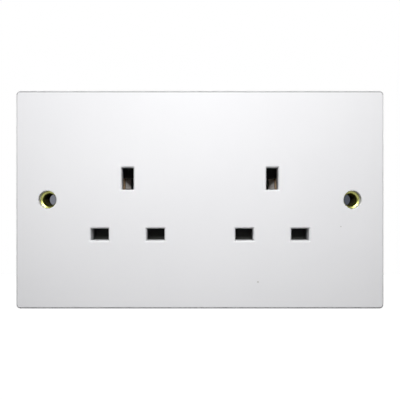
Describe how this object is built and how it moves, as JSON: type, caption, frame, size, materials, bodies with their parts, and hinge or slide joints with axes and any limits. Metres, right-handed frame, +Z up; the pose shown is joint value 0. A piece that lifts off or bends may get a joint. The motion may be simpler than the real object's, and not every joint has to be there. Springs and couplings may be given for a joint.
{
  "type": "twin wall socket",
  "caption": "Unswitched twin wall socket for flat three-pin plugs: flat white plate with sprung shutters, brass contacts, rear terminals and brass-lined fixing holes.",
  "frame": {"origin": "centre of the wall plane, on which the rim of the plate seats", "axes": "+X along the plate to the right and +Z up as seen from the front, +Y into the wall; the front faces -Y"},
  "size_m": [0.146, 0.0251, 0.0864],
  "materials": {
    "white_plastic": "smooth moulded white thermoset",
    "grey_plastic": "moulded off-white thermoset",
    "black_plastic": "moulded black nylon",
    "spring_steel": "drawn spring wire",
    "eyelet_brass": "turned brass",
    "strap_brass": "stamped strip brass",
    "contact_bronze": null,
    "terminal_brass": "sawn brass bar",
    "screw_brass": "turned brass",
    "screw_steel": "plated steel"
  },
  "bodies": {
    "socket": {"faceplate": "white_plastic", "rear_housing": "grey_plastic", "left_shutter_spring": "spring_steel", "right_shutter_spring": "spring_steel", "left_eyelet": "eyelet_brass", "right_eyelet": "eyelet_brass", "earth_strap": "strap_brass", "neutral_busbar": "strap_brass", "line_busbar": "strap_brass", "left_earth_contact": "contact_bronze", "right_earth_contact": "contact_bronze", "left_line_contact": "contact_bronze", "right_line_contact": "contact_bronze", "left_neutral_contact": "contact_bronze", "right_neutral_contact": "contact_bronze", "left_earth_terminal": "terminal_brass", "right_earth_terminal": "terminal_brass", "neutral_terminal": "terminal_brass", "line_terminal": "terminal_brass", "terminal_screws": "screw_brass", "assembly_screws": "screw_steel"},
    "left_shutter": {"left_shutter": "black_plastic"},
    "right_shutter": {"right_shutter": "black_plastic"}
  },
  "joints": [
    {"name": "left_shutter_slide", "type": "slide", "parent": "socket", "child": "left_shutter", "axis": [0, 0, 1], "range_m": [0, 0.0054], "stiffness_N_per_m": 100, "springref_m": -0.005, "deforming": ["left_shutter_spring"]},
    {"name": "right_shutter_slide", "type": "slide", "parent": "socket", "child": "right_shutter", "axis": [0, 0, 1], "range_m": [0, 0.0054], "stiffness_N_per_m": 100, "springref_m": -0.005, "deforming": ["right_shutter_spring"]}
  ]
}
